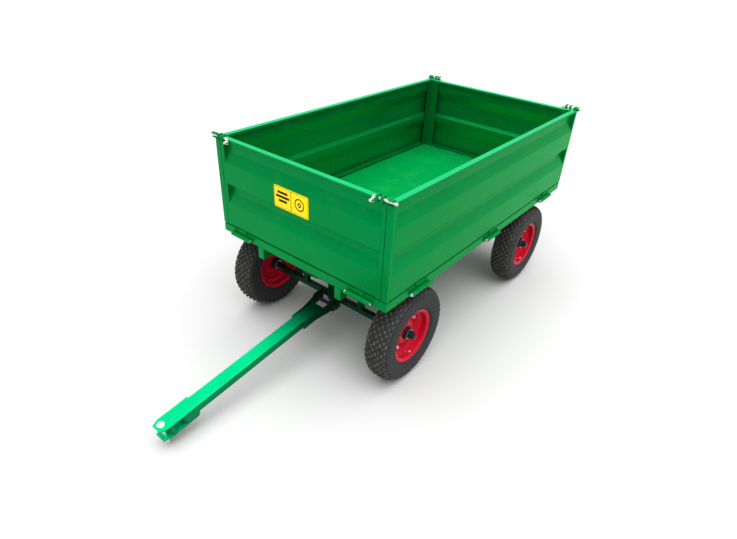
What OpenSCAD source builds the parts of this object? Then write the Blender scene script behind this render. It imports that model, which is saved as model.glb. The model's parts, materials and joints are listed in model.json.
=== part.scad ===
// Tow-behind cart with four wheels, a steered front axle, a drawbar and four drop sides.
// +X points to the hitch, +Y to the cart's left and +Z up. Z = 0 is the ground.
// All sizes are in millimetres.

/* [Load box] */
// Outside length of the load box
box_l = 1460; // [1200:10:1800]
// Outside width of the load box
box_w = 850; // [760:10:1050]
// Height of the drop sides
side_h = 364; // [340:2:460]
// Thickness of the drop sides
side_t = 27; // [25:1:34]
// Thickness of the pressed sheet
sheet_t = 2; // [1.5:0.5:3]
// Depth of the pressed ribs
rib_depth = 18; // [10:1:20]
// Width of the end posts of each side
post_w = 16; // [14:1:24]
// Width of the flange that covers each post on the inside
post_flange_w = 48; // [30:1:60]
// Gap between a front or rear side and the long sides
side_gap = 2; // [1:0.5:4]
// Height of the gap under the drop sides
sill_gap = 2.5; // [2:0.5:6]

/* [Side pressing] */
// Distance from the top of a side to the foot of its upper recess
recess_foot = 52; // [46:1:60]
// Height of the long slope under each recess
slope_h = 46; // [30:1:50]
// Distance from the top of a side to its lower recess
lower_recess = 184; // [170:1:200]
// Height of the short slope over the lower recess
short_slope = 8; // [6:1:12]
// Height of the flat bottom of the lower recess
recess_flat = 28; // [20:1:36]
// Height of the folded lips on the inside of a side
lip = 12; // [8:1:12]
// Height of the rim along the outside of the top edge
rim_lip = 8; // [6:1:12]

/* [Base frame] */
// Height of the base frame rails
frame_h = 35; // [30:1:50]
// Width of the base frame rails
frame_w = 30; // [26:1:45]
// How far the base frame reaches in past the sides at least, to carry the floor
floor_lap = 3; // [2:1:10]
// Wall of the welded tubes
tube_wall = 2.5; // [2:0.5:4]
// Thickness of the floor sheet
floor_t = 2; // [1.5:0.5:4]
// Number of cross members under the floor
cross_count = 3; // [2:1:4]
// Width of each cross member
cross_w = 30; // [20:1:40]
// Height of the chassis rails
rail_h = 50; // [40:1:60]
// Width of the chassis rails
rail_w = 30; // [25:1:40]
// Distance of each chassis rail from the centre line
rail_y = 205; // [190:1:210]
// How far the chassis rails stop short of the rear end
rail_rear_gap = 80; // [20:5:200]
// Width of the outriggers over the front axle
outrigger_w = 40; // [20:1:60]
// Height of the outriggers
outrigger_h = 20; // [15:1:22]
// Distance of the outriggers behind the front axle
outrigger_back = 69; // [60:1:120]

/* [Wheels] */
// Outside diameter of the tyres
wheel_d = 400; // [360:5:480]
// Section width of the tyres
tyre_w = 106; // [90:1:120]
// Wall of the tyre tread
tyre_wall = 11; // [8:1:14]
// Diameter of the rim flanges
rim_d = 226; // [200:1:240]
// Distance between the rim flanges
rim_w = 80; // [70:1:90]
// Distance between the wheel centre planes on one axle
track = 746; // [700:2:900]
// Distance from the box centre to the front axle
front_axle_x = 524; // [420:1:560]
// Distance from the box centre to the rear axle
rear_axle_x = 463; // [350:1:560]
// Gap between the tyre tops and the base frame
tyre_gap = 27.5; // [26:0.5:60]
// Outside diameter of the hubs
hub_d = 50; // [48:1:60]
// Hub length on the inner side of the wheel centre plane
hub_in = 36; // [30:1:38]
// Hub length on the outer side of the wheel centre plane
hub_out = 28; // [24:1:34]
// Outside diameter of the hub bearings
bearing_d = 42; // [35:1:42]
// Width of the hub bearings
bearing_w = 12; // [8:1:12]

/* [Axles and turntable] */
// Side of the square solid-bar axle beams
beam_s = 22; // [20:1:30]
// Distance of the beams' middle below the middle of the wheels
beam_drop = 8; // [0:1:10]
// Gap between the end of each beam and the inside of its tyre
beam_gap = 20; // [16:1:40]
// Diameter of the stub axles
axle_d = 20; // [16:1:24]
// How far the stub axles stand out past the hubs
thread_l = 26; // [24:1:32]
// Width across the flats of the axle nuts
nut_w = 28; // [24:1:32]
// Diameter of the kingpin
kingpin_d = 24; // [16:1:30]
// Outside diameter of the kingpin post
post_d = 44; // [36:1:50]
// Diameter of the lower turntable plate
turntable_d = 290; // [280:5:320]
// Thickness of the turntable plates
plate_t = 8; // [5:1:10]
// Distance of each turntable strut from the centre line
strut_y = 155; // [130:1:165]
// Width of each turntable strut
strut_w = 24; // [12:1:28]
// Width of each rear axle stand
stand_w = 60; // [40:1:80]

/* [Drawbar] */
// Width of the drawbar tube
bar_w = 54; // [44:1:60]
// Height of the drawbar tube
bar_h = 32; // [28:1:34]
// Length from the drawbar pivot to the end of the hitch jaw
bar_l = 812; // [600:2:1000]
// Distance of the drawbar pivot in front of the axle
pivot_ahead = 51; // [48:1:60]
// Distance of the drawbar pivot below the axle
pivot_drop = 14; // [4:1:16]
// Diameter of the drawbar pivot bolt
pivot_d = 16; // [12:1:20]
// Thickness of the yoke ears and of the drawbar cheeks
ear_t = 6; // [4:1:6]
// Distance from the centre line to the inside of each yoke ear
ear_y = 46; // [46:1:50]
// Length of the plates that widen the drawbar to its yoke
cheek_l = 160; // [140:1:200]
// Length of the hitch jaw
jaw_l = 145; // [130:1:180]
// Height of the hitch jaw
jaw_h = 50; // [46:1:56]
// Wall of the hitch jaw
jaw_wall = 4; // [3:0.5:5]
// Open length of the jaw mouth
mouth_l = 34; // [30:1:40]
// Width of the jaw at its chamfered end
nose_w = 42; // [34:1:50]
// Length of the sloped corner under the rear end of the jaw
jaw_back = 8; // [4:1:16]
// Diameter of the hitch pin
pin_d = 16; // [12:1:19]
// Distance of the hitch pin from the end of the jaw
pin_inset = 20; // [18:1:24]
// Length of the hitch pin below the centre line of the drawbar
pin_drop = 78; // [60:1:95]
// Width of the clip groove in the hitch pin
groove_w = 2.5; // [1.5:0.5:4]
// Depth of the clip groove in the hitch pin
groove_depth = 1.5; // [1:0.5:3]

/* [Hinges] */
// Length of each side hinge
hinge_l = 110; // [90:1:130]
// Outside radius of the hinge knuckles
knuckle_r = 9; // [8:0.5:9.5]
// Diameter of the hinge pins
hinge_pin_d = 10; // [8:0.5:10]
// Distance of the hinge axis outside the load box
hinge_out = 10; // [10:0.5:14]
// Distance of the hinge axis below the top of the base frame
hinge_down = 22.5; // [20:0.5:24]
// Thickness of the hinge leaves
leaf_t = 3; // [2:0.5:3]
// How far the hinge leaves reach under the sides
leaf_foot = 15; // [10:1:20]
// Distance from the box centre to the outer hinges of a long side
long_hinge_x = 540; // [400:5:560]
// Distance from the centre line to the hinges of a front or rear side
end_hinge_y = 308; // [250:2:310]

/* [Latches] */
// Diameter of the latch bolts
bolt_d = 10; // [8:0.5:10]
// Distance of the latch bolts outside the front or rear face
bolt_ahead = 6; // [5.5:0.5:7]
// Height of the latch bolts above the drop sides
bolt_up = 5; // [5:0.5:7]
// Length of the latch bolts
bolt_l = 92; // [86:1:110]
// How far the latch bolts stand out past the long sides
bolt_out = 14; // [6:1:17]
// Drop of the latch handles
handle_drop = 28; // [20:1:40]
// Forward reach of the latch handles
handle_reach = 14; // [8:1:20]
// Length of each latch keeper
keeper_l = 25; // [15:1:26]
// Outside diameter of the latch keepers
keeper_d = 21; // [19:0.5:22]
// Width of the slot and bore of the latch keepers
keeper_bore = 14; // [14:0.5:15]
// Distance from the long sides to the first bolt guide
guide_in = 34; // [30:1:36]
// Distance between the two guides of a bolt
guide_pitch = 20; // [14:1:22]
// Width of each bolt guide
guide_w = 8; // [6:1:10]

/* [Label] */
// Width of the plain label
label_w = 172; // [60:1:200]
// Height of the plain label
label_h = 84; // [40:1:84]
// Distance of the label's middle to the right of the centre line
label_right = 20; // [0:5:100]
// Distance of the label's middle below the top of the side
label_down = 141; // [140:1:142]

/* [Hidden] */

$fn = 48;
run = 0.05;            // radial clearance of a pin or bolt that turns in its hole
seat = 0.02;           // radial clearance of a bearing in its hub
slide_gap = 0.5;       // gap between plates that slide or turn on each other
over = 1;              // how far a cut runs past a face

// heights above the ground
// the base frame stays wide enough for the floor to rest on it inside the sides
sill_w = max(frame_w, side_t + floor_lap);
axle_z = wheel_d / 2;
frame_z = wheel_d + tyre_gap;
frame_top = frame_z + frame_h;
side_z = frame_top + floor_t + sill_gap;
side_top = side_z + side_h;
rail_z = frame_z - rail_h;
upper_plate_z = rail_z - plate_t;
lower_plate_z = upper_plate_z - slide_gap - plate_t;
beam_z = axle_z - beam_drop;
beam_top = beam_z + beam_s / 2;
beam_low = beam_z - beam_s / 2;
strut_h = lower_plate_z - beam_top;
hinge_z = frame_top - hinge_down;
bolt_z = side_top + bolt_up;
pivot_z = axle_z - pivot_drop;

// lengths along the drawbar, and its slope when the hitch pin stands on the ground
pin_s = bar_l - pin_inset;
jaw_s = bar_l - jaw_l;
jaw_top = bar_h / 2 + jaw_wall;
slope = asin(pivot_z / norm([pin_s, pin_drop])) - atan2(pin_drop, pin_s);

// the origin is in the middle of the whole cart, from the hitch to the rear hinges
pivot_x = front_axle_x + pivot_ahead;
front_reach = pivot_x + bar_l * cos(slope) + jaw_top * sin(slope);
rear_reach = box_l / 2 + hinge_out + knuckle_r;
box_x = (rear_reach - front_reach) / 2;

// widths across the cart
end_side_l = box_w - 2 * side_t - 2 * side_gap;
beam_l = track - tyre_w - 2 * beam_gap;
axle_end = track / 2 + hub_out + thread_l;
rail_l = box_l - rail_rear_gap;

green = [0.01, 0.42, 0.17];
bright_green = [0.0, 0.55, 0.22];
zinc = [0.78, 0.78, 0.75];
black = [0.06, 0.06, 0.07];
red = [0.72, 0.03, 0.08];

// ---- helpers ----

// a square tube along X from its low corner and its size, open at both ends
module hollow_x(x, y, z, l, w, h, wall) {
    translate([x, y, z]) difference() {
        cube([l, w, h]);
        translate([-over, wall, wall]) cube([l + 2 * over, w - 2 * wall, h - 2 * wall]);
    }
}

// a tube along X, closed by a thin cap at each end
module capped_x(x, y, z, l, w, h, wall) {
    hollow_x(x + wall, y, z, l - 2 * wall, w, h, wall);
    for (end = [x, x + l - wall])
        translate([end, y, z]) cube([wall, w, h]);
}

// a tube along Y, open at both ends
module hollow_y(x, y, z, w, l, h, wall) {
    translate([x, y, z]) difference() {
        cube([w, l, h]);
        translate([wall, -over, wall]) cube([w - 2 * wall, l + 2 * over, h - 2 * wall]);
    }
}

module along_y(r, l) {
    rotate([-90, 0, 0]) cylinder(r = r, h = l);
}

// left and right copies
module both_y() {
    children();
    mirror([0, 1, 0]) children();
}

module in_box() {
    translate([box_x, 0, 0]) children();
}

// the drawbar's own frame: X along the bar from its pivot, Z square to it
module on_bar() {
    translate([box_x + pivot_x, 0, pivot_z]) rotate([0, slope, 0]) children();
}

// offsets a path of points to its left by a sheet's thickness, mitred at each fold
function unit(v) = v / norm(v);
function left_of(v) = [-v[1], v[0]];
function before(p, i) = i == 0 ? unit(p[1] - p[0]) : unit(p[i] - p[i - 1]);
function after(p, i) = i == len(p) - 1 ? before(p, i) : unit(p[i + 1] - p[i]);
function middle(p, i) = unit(left_of(before(p, i)) + left_of(after(p, i)));
function mitre(p, i) = middle(p, i) / (middle(p, i) * left_of(before(p, i)));
function folded(p, t) = concat(p, [for (i = [len(p) - 1 : -1 : 0]) p[i] + t * mitre(p, i)]);

// ---- drop sides ----

// depth from the outer face and height of each fold, from the inner lip over the rim to the bottom lip
fold_lean = 2;
recess_head = side_h - lower_recess - short_slope;
side_path = [
    [side_t, side_h - lip], [side_t, side_h], [0, side_h], [0, side_h - rim_lip],
    [rib_depth, side_h - rim_lip - fold_lean], [rib_depth, side_h - recess_foot],
    [0, side_h - recess_foot - slope_h], [0, side_h - lower_recess],
    [rib_depth, recess_head], [rib_depth, recess_head - recess_flat],
    [0, recess_head - recess_flat - slope_h], [0, 0], [side_t, 0], [side_t, lip]
];

// each drop side is made standing at the origin: X along it, +Y out, Z up from its bottom edge
module side_sheet(l) {
    color(green)
        translate([-l / 2 + post_w, 0, 0]) rotate([90, 0, 90])
            linear_extrude(l - 2 * post_w)
                polygon([for (p = folded(side_path, sheet_t)) [-p[0], p[1]]]);
}

module side_post() {
    difference() {
        translate([0, -side_t, 0]) cube([post_w, side_t, side_h]);
        translate([sheet_t, sheet_t - side_t, -over])
            cube([post_w - 2 * sheet_t, side_t - 2 * sheet_t, side_h - sheet_t + over]);
    }
    translate([post_w - sheet_t, -side_t, lip])
        cube([post_flange_w - post_w + sheet_t, sheet_t, side_h - 2 * lip]);
}

module side_posts(l) {
    color(green) {
        translate([-l / 2, 0, 0]) side_post();
        mirror([1, 0, 0]) translate([-l / 2, 0, 0]) side_post();
    }
}

hinge_gap = 1;
leaf_rise = 6;         // how far a welded leaf reaches above its knuckle
pin_past = 2;          // how far a hinge pin stands out past its knuckles
pin_head_t = 3;
knuckle_l = (hinge_l - 2 * hinge_gap) * 0.4;
outer_knuckle_l = (hinge_l - 2 * hinge_gap - knuckle_l) / 2;
drop = side_z - hinge_z;

module knuckle(l) {
    translate([-l / 2, 0, 0]) rotate([0, 90, 0]) cylinder(r = knuckle_r, h = l);
}

module hinge_bore() {
    translate([-hinge_l, 0, 0]) rotate([0, 90, 0]) cylinder(r = hinge_pin_d / 2 + run, h = 2 * hinge_l);
}

// the leaf of one hinge that turns with the side
module side_leaf() {
    translate([0, hinge_out, -drop]) difference() {
        union() {
            knuckle(knuckle_l);
            translate([-knuckle_l / 2, slide_gap - hinge_out, 0])
                cube([knuckle_l, leaf_t, drop - leaf_t / 2]);
        }
        hinge_bore();
    }
    translate([-knuckle_l / 2, -leaf_foot, -sill_gap + slide_gap])
        cube([knuckle_l, leaf_foot + slide_gap + leaf_t, sill_gap - slide_gap]);
}

// the leaf of one hinge that is welded to the base frame
module frame_leaf() {
    translate([0, hinge_out, -drop]) difference() {
        for (end = [-1, 1])
            translate([end * (knuckle_l / 2 + hinge_gap + outer_knuckle_l / 2), 0, 0]) {
                knuckle(outer_knuckle_l);
                translate([-outer_knuckle_l / 2, -hinge_out, -knuckle_r])
                    cube([outer_knuckle_l, leaf_t, 2 * knuckle_r + leaf_rise]);
            }
        hinge_bore();
    }
}

module hinge_pin() {
    translate([0, hinge_out, -drop]) rotate([0, 90, 0]) {
        translate([0, 0, -hinge_l / 2 - pin_past]) cylinder(d = hinge_pin_d, h = hinge_l + 2 * pin_past);
        translate([0, 0, hinge_l / 2 + 1]) cylinder(d = hinge_pin_d + 4, h = pin_head_t);
    }
}

module at_long_side() {
    in_box() translate([0, box_w / 2, side_z]) children();
}

module at_end_side() {
    in_box() translate([box_l / 2, 0, side_z]) rotate([0, 0, -90]) children();
}

module at_rear_side() {
    in_box() mirror([1, 0, 0]) translate([box_l / 2, 0, side_z]) rotate([0, 0, -90]) children();
}

module long_hinges() {
    for (x = [-long_hinge_x, 0, long_hinge_x])
        translate([x, 0, 0]) children();
}

module end_hinges() {
    for (x = [-end_hinge_y, end_hinge_y])
        translate([x, 0, 0]) children();
}

// every hinge of the cart
module all_hinges() {
    at_long_side() long_hinges() children();
    mirror([0, 1, 0]) at_long_side() long_hinges() children();
    at_end_side() end_hinges() children();
    at_rear_side() end_hinges() children();
}

// ---- latches ----

// the left front corner: +X ahead of the box and +Y out past its long side
module at_corner() {
    in_box() translate([box_l / 2 + bolt_ahead, box_w / 2, bolt_z]) children();
}

module latch_bolt() {
    color(zinc) at_corner() {
        translate([0, bolt_out - bolt_l, 0]) {
            along_y(bolt_d / 2, bolt_l);
            sphere(d = bolt_d);
            translate([0, 0, -handle_drop]) {
                cylinder(d = bolt_d, h = handle_drop);
                sphere(d = bolt_d);
                rotate([0, 90, 0]) cylinder(d = bolt_d, h = handle_reach);
            }
        }
    }
}

keeper_in = 4;
keeper_cut = 60;       // size of the block that fits a keeper to the corner of its side

// a C-shaped keeper, open to the front so that the bolt can leave as either side swings
module keeper() {
    color(bright_green) at_corner() difference() {
        translate([0, keeper_in - keeper_l, 0]) along_y(keeper_d / 2, keeper_l);
        translate([0, -box_w / 4, 0]) along_y(keeper_bore / 2, box_w / 2);
        translate([0, -box_w / 4, -keeper_bore / 2]) cube([keeper_d, box_w / 2, keeper_bore]);
        translate([-bolt_ahead - keeper_cut, -keeper_cut, -bolt_up - keeper_cut])
            cube([keeper_cut, keeper_cut, keeper_cut]);
    }
}

guide_wall = 6;        // steel round the bolt in each guide
guide_foot = 6;        // how far a guide reaches back over the top of its side
guide_hook = 7;        // how far it reaches down the outside

// a block round the bolt, with a foot over the top of the side and a hook down its outside
module guide() {
    reach = bolt_d / 2 + guide_wall;
    difference() {
        union() {
            translate([-bolt_ahead - guide_foot, 0, -bolt_up])
                cube([bolt_ahead + guide_foot + reach, guide_w, bolt_up + reach]);
            translate([-bolt_ahead, 0, -bolt_up - guide_hook])
                cube([bolt_ahead + reach, guide_w, guide_hook + over]);
        }
        translate([0, -over, 0]) along_y(bolt_d / 2 + run, guide_w + 2 * over);
    }
}

module corner_guides() {
    color(bright_green) at_corner()
        for (i = [0, 1])
            translate([0, -guide_in - guide_w - i * guide_pitch, 0]) guide();
}

// mirrors a front left part to the rear
module to_rear() {
    translate([2 * box_x, 0, 0]) mirror([1, 0, 0]) children();
}

module to_right() {
    mirror([0, 1, 0]) children();
}

// ---- base frame ----

module base_frame() {
    color(green) in_box() {
        both_y() capped_x(-box_l / 2, box_w / 2 - sill_w, frame_z, box_l, sill_w, frame_h, tube_wall);
        for (x = [-box_l / 2, box_l / 2 - sill_w])
            hollow_y(x, sill_w - box_w / 2, frame_z, sill_w, box_w - 2 * sill_w, frame_h, tube_wall);
    }
}

outrigger_x = front_axle_x - outrigger_back;

module cross_members() {
    pitch = box_l / (cross_count + 1);
    color(green) in_box() {
        for (i = [1 : cross_count])
            hollow_y(i * pitch - box_l / 2 - cross_w / 2, sill_w - box_w / 2, frame_z,
                cross_w, box_w - 2 * sill_w, frame_h, tube_wall);
        both_y() translate([outrigger_x - outrigger_w / 2, rail_y + rail_w / 2, frame_z - outrigger_h])
            cube([outrigger_w, box_w / 2 - rail_y - rail_w / 2, outrigger_h]);
    }
}

module floor_sheet() {
    color(bright_green) in_box()
        translate([-box_l / 2 + side_t + 1, -box_w / 2 + side_t + 1, frame_top])
            cube([box_l - 2 * side_t - 2, box_w - 2 * side_t - 2, floor_t]);
}

module chassis_rails() {
    color(green) in_box() both_y()
        capped_x(box_l / 2 - rail_l, rail_y - rail_w / 2, rail_z, rail_l, rail_w, rail_h, tube_wall);
}

module frame_hinge_leaves() {
    color(green) all_hinges() frame_leaf();
}

module hinge_pins() {
    color(zinc) all_hinges() hinge_pin();
}

// ---- turntable ----

module at_kingpin(z) {
    in_box() translate([front_axle_x, 0, z]) children();
}

module turntable_upper_plate() {
    width = 2 * rail_y + rail_w;
    color(green) at_kingpin(upper_plate_z) difference() {
        translate([-turntable_d / 2, -width / 2, 0]) cube([turntable_d, width, plate_t]);
        translate([0, 0, -over]) cylinder(d = kingpin_d + 2 * run, h = plate_t + 2 * over);
    }
}

// a pin down through both plates and the post, with a head on top and a nut under the post
module kingpin() {
    nut_h = 18;
    nut_low = beam_low - slide_gap - nut_h;
    tip = nut_low - 4;
    color(zinc) {
        at_kingpin(tip) cylinder(d = kingpin_d, h = rail_z + over - tip);
        at_kingpin(rail_z) cylinder(d = kingpin_d + 16, h = 8);
        at_kingpin(nut_low) difference() {
            cylinder(d = kingpin_d + 18, h = nut_h, $fn = 6);
            translate([0, 0, -over]) cylinder(d = kingpin_d, h = nut_h + 2 * over);
        }
    }
}

module turntable_lower_plate() {
    arm = strut_y + strut_w / 2;
    color(green) at_kingpin(lower_plate_z) difference() {
        union() {
            cylinder(d = turntable_d, h = plate_t, $fn = 96);
            translate([-beam_s / 2, -arm, 0]) cube([beam_s, 2 * arm, plate_t]);
        }
        translate([0, 0, -over]) cylinder(d = kingpin_d + 2 * run, h = plate_t + 2 * over);
    }
}

// the tube that turns on the kingpin; the two halves of the front beam are welded to it
module kingpin_post() {
    post_h = lower_plate_z - beam_low;
    color(green) at_kingpin(beam_low) difference() {
        cylinder(d = post_d, h = post_h);
        translate([0, 0, -over]) cylinder(d = kingpin_d + 2 * run, h = post_h + 2 * over);
    }
}

module turntable_struts() {
    color(green) both_y() at_kingpin(beam_top)
        translate([-beam_s / 2, strut_y - strut_w / 2, 0]) cube([beam_s, strut_w, strut_h]);
}

// ---- axles ----

collar_d = axle_d + 10;
stub_lap = 60;         // how far a stub axle is welded along its beam

// one square beam with a stub axle and a collar at each end
module axle_beam() {
    translate([-beam_s / 2, -beam_l / 2, -beam_drop - beam_s / 2]) cube([beam_s, beam_l, beam_s]);
    both_y() translate([0, beam_l / 2 - stub_lap, 0])
        along_y(axle_d / 2, axle_end - beam_l / 2 + stub_lap);
    both_y() translate([0, beam_l / 2 - over, 0])
        along_y(collar_d / 2, track / 2 - hub_in - slide_gap - beam_l / 2 + over);
}

module front_axle() {
    color(green) difference() {
        at_kingpin(axle_z) axle_beam();
        at_kingpin(beam_low - over) cylinder(d = post_d, h = beam_s + 2 * over);
    }
}

module rear_axle() {
    color(green) in_box() translate([-rear_axle_x, 0, axle_z]) axle_beam();
}

module rear_axle_stands() {
    color(green) in_box() both_y()
        translate([-rear_axle_x - stand_w / 2, rail_y - rail_w / 2, beam_top])
            difference() {
                cube([stand_w, rail_w, rail_z - beam_top]);
                translate([tube_wall, tube_wall, -over])
                    cube([stand_w - 2 * tube_wall, rail_w - 2 * tube_wall, rail_z - beam_top + 2 * over]);
            }
}

// a washer and a nut at each end of an axle
module axle_nuts() {
    washer_t = 3;
    nut_h = 17;
    both_y() translate([0, track / 2 + hub_out + slide_gap, 0]) {
        difference() {
            along_y(nut_w / 2 + 4, washer_t);
            translate([0, -over, 0]) along_y(axle_d / 2, washer_t + 2 * over);
        }
        translate([0, washer_t, 0]) difference() {
            rotate([-90, 0, 0]) cylinder(d = nut_w / cos(30), h = nut_h, $fn = 6);
            translate([0, -over, 0]) along_y(axle_d / 2, nut_h + 2 * over);
        }
    }
}

module front_axle_nuts() {
    color(black) at_kingpin(axle_z) axle_nuts();
}

module rear_axle_nuts() {
    color(black) in_box() translate([-rear_axle_x, 0, axle_z]) axle_nuts();
}

// ---- wheels, made about the Y axis with the outer side at +Y ----

bead_r = rim_d / 2 - 11;
bead_y = rim_w / 2 - 4.5;
flange_y = rim_w / 2;       // where the sidewall leaves the rim's flange
flange_r = rim_d / 2 + 2;
belly_r = (wheel_d / 2 + flange_r) / 2;
side_wall = tyre_wall - 3;  // the sidewalls are thinner than the tread
bead_w = 9;

// half of a tyre outline: up the flange from the bead, then a rounded square round to the tread
function rounded(a) = [pow(max(cos(a), 0), 0.75), pow(max(sin(a), 0), 0.75)];
function tyre_outline(half_w, top_r, foot_y, low_y) = concat(
    [[foot_y, bead_r]],
    [for (a = [90 : -15 : 15])
        [low_y + (half_w - low_y) * rounded(a)[0], belly_r - (belly_r - flange_r) * rounded(a)[1]]],
    [for (a = [0 : 10 : 90]) [half_w * rounded(a)[0], belly_r + (top_r - belly_r) * rounded(a)[1]]]
);
function reversed(p) = [for (i = [len(p) - 1 : -1 : 0]) p[i]];

module tyre() {
    outside = tyre_outline(tyre_w / 2, wheel_d / 2, bead_y, flange_y);
    inside = tyre_outline(
        tyre_w / 2 - side_wall, wheel_d / 2 - tyre_wall, bead_y - bead_w, flange_y - bead_w
    );
    right_out = [for (p = outside) [p[1], p[0]]];
    left_out = [for (p = reversed(outside)) [p[1], -p[0]]];
    right_in = [for (p = inside) [p[1], p[0]]];
    left_in = [for (p = reversed(inside)) [p[1], -p[0]]];
    color(black) rotate([-90, 0, 0]) rotate_extrude($fn = 72)
        polygon(concat(right_out, left_out, reversed(concat(right_in, left_in))));
}

// a pressed half rim: its flange, barrel, shoulder, the disc where the halves meet and the cup round the hub
rim_t = 3;
barrel_r = bead_r - rim_t - 0.2;
shoulder_y = 12;
disc_y = 4;
disc_r = hub_d / 2 + 35;
cup_y = 12;
cup_r = hub_d / 2 + 19;
rim_path = [
    [rim_d / 2, rim_w / 2 + 3.5], [barrel_r, rim_w / 2 - 2], [barrel_r, shoulder_y + 5],
    [bead_r - 20, shoulder_y], [bead_r - 26, disc_y], [disc_r, disc_y],
    [cup_r, cup_y], [hub_d / 2 + 0.1, cup_y]
];

module rim() {
    color(red) for (side = [1, -1])
        rotate([side * -90, 0, 0]) rotate_extrude($fn = 72) polygon(folded(rim_path, rim_t));
}

grease_gap = 4;        // space between the axle and the middle of a hub

module hub() {
    color(black) translate([0, -hub_in, 0]) difference() {
        along_y(hub_d / 2, hub_in + hub_out);
        translate([0, -over, 0]) along_y(axle_d / 2 + grease_gap, hub_in + hub_out + 2 * over);
        translate([0, -over, 0]) along_y(bearing_d / 2 + seat, bearing_w + over);
        translate([0, hub_in + hub_out - bearing_w, 0]) along_y(bearing_d / 2 + seat, bearing_w + over);
    }
}

module bearings() {
    color(zinc) for (y = [-hub_in, hub_out - bearing_w])
        translate([0, y, 0]) difference() {
            along_y(bearing_d / 2, bearing_w);
            translate([0, -over, 0]) along_y(axle_d / 2 + run, bearing_w + 2 * over);
        }
}

module front_wheel() {
    at_kingpin(axle_z) translate([0, track / 2, 0]) children();
}

module rear_wheel() {
    in_box() translate([-rear_axle_x, track / 2, axle_z]) children();
}

// ---- drawbar ----

module drawbar_yoke() {
    ear_r = pivot_d + 8;
    color(green) both_y() difference() {
        union() {
            at_kingpin(pivot_z) translate([beam_s / 2, ear_y, -ear_r])
                cube([pivot_ahead - beam_s / 2, ear_t, 2 * ear_r]);
            at_kingpin(pivot_z) translate([pivot_ahead, ear_y, 0]) along_y(ear_r, ear_t);
        }
        at_kingpin(pivot_z) translate([pivot_ahead, ear_y - over, 0])
            along_y(pivot_d / 2 + run, ear_t + 2 * over);
    }
}

module drawbar_pivot_bolt() {
    head_h = 8;
    nut_h = 13;
    head_d = pivot_d * 1.7;
    reach = ear_y + ear_t;
    color(zinc) at_kingpin(pivot_z) translate([pivot_ahead, 0, 0]) {
        translate([0, -reach, 0]) along_y(pivot_d / 2, 2 * reach + nut_h + 5);
        translate([0, -reach - head_h, 0]) rotate([-90, 0, 0]) cylinder(d = head_d, h = head_h, $fn = 6);
        translate([0, reach, 0]) rotate([-90, 0, 0]) difference() {
            cylinder(d = head_d, h = nut_h, $fn = 6);
            translate([0, 0, -over]) cylinder(d = pivot_d, h = nut_h + 2 * over);
        }
    }
}

tail_s = 45;           // where the tube starts ahead of the pivot
tube_in_jaw = 60;
bar_wall = 3;

module drawbar_tube() {
    color(bright_green) on_bar()
        hollow_x(tail_s, -bar_w / 2, -bar_h / 2, jaw_s + tube_in_jaw - tail_s, bar_w, bar_h, bar_wall);
}

// bent plates that widen the drawbar to its yoke
module drawbar_cheeks() {
    inner = bar_w / 2;
    outer = ear_y - 1 - ear_t;
    height = bar_h + 8;
    bend = 25;
    weld = 95;
    color(green) on_bar() both_y() difference() {
        union() {
            translate([0, 0, -height / 2]) linear_extrude(height)
                polygon([
                    [0, outer], [bend, outer], [weld, inner], [cheek_l, inner], [cheek_l, inner + ear_t],
                    [weld, inner + ear_t], [bend, outer + ear_t], [0, outer + ear_t]
                ]);
            translate([0, outer, 0]) along_y(height / 2, ear_t);
        }
        translate([0, outer - over, 0]) along_y(pivot_d / 2 + run, ear_t + 2 * over);
    }
}

// the mouth is open at its end and sides; two windows and a strap lie behind it
module hitch_jaw() {
    width = bar_w + 2 * jaw_wall;
    nose = 24;
    strap = 12;
    window = 44;
    color(bright_green) on_bar() difference() {
        translate([jaw_s, 0, jaw_top - jaw_h]) linear_extrude(jaw_h)
            polygon([
                [0, -width / 2], [jaw_l - nose, -width / 2], [jaw_l, -nose_w / 2],
                [jaw_l, nose_w / 2], [jaw_l - nose, width / 2], [0, width / 2]
            ]);
        translate([jaw_s - over, -bar_w / 2, jaw_top - jaw_h + jaw_wall])
            cube([jaw_l + 2 * over, bar_w, jaw_h - 2 * jaw_wall]);
        translate([bar_l - mouth_l, -width, jaw_top - jaw_h + jaw_wall])
            cube([mouth_l + over, 2 * width, jaw_h - 2 * jaw_wall]);
        translate([bar_l - mouth_l - strap - window, -width, jaw_top - jaw_h + jaw_wall + 4])
            cube([window, 2 * width, jaw_h - 2 * jaw_wall - 8]);
        translate([pin_s, 0, -jaw_h]) cylinder(d = pin_d + 2 * run, h = 2 * jaw_h);
        translate([jaw_s, width, jaw_top - jaw_h]) rotate([90, 0, 0]) linear_extrude(2 * width)
            polygon([[-over, -over], [jaw_back, -over], [-over, jaw_h - jaw_wall - bar_h + over]]);
    }
}

// a plain pin with a low head, a tapered tip and a clip groove just under the jaw
module hitch_pin() {
    tip = 6;
    groove_top = jaw_top - jaw_h - 3;
    groove_low = groove_top - groove_w;
    color(zinc) on_bar() translate([pin_s, 0, 0]) {
        translate([0, 0, -pin_drop]) cylinder(d1 = pin_d - 6, d2 = pin_d, h = tip);
        translate([0, 0, tip - pin_drop]) cylinder(d = pin_d, h = groove_low + pin_drop - tip);
        translate([0, 0, groove_low]) cylinder(d = pin_d - 2 * groove_depth, h = groove_w);
        translate([0, 0, groove_top]) cylinder(d = pin_d, h = jaw_top - groove_top);
        translate([0, 0, jaw_top]) cylinder(d = pin_d + 10, h = 5);
    }
}

// ---- the label ----

label_t = 0.8;

module front_label() {
    color([0.88, 0.75, 0.08]) in_box()
        translate([box_l / 2, -label_right - label_w / 2, side_top - label_down - label_h / 2])
            cube([label_t, label_w, label_h]);
}

// ---- nodes ----

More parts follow.
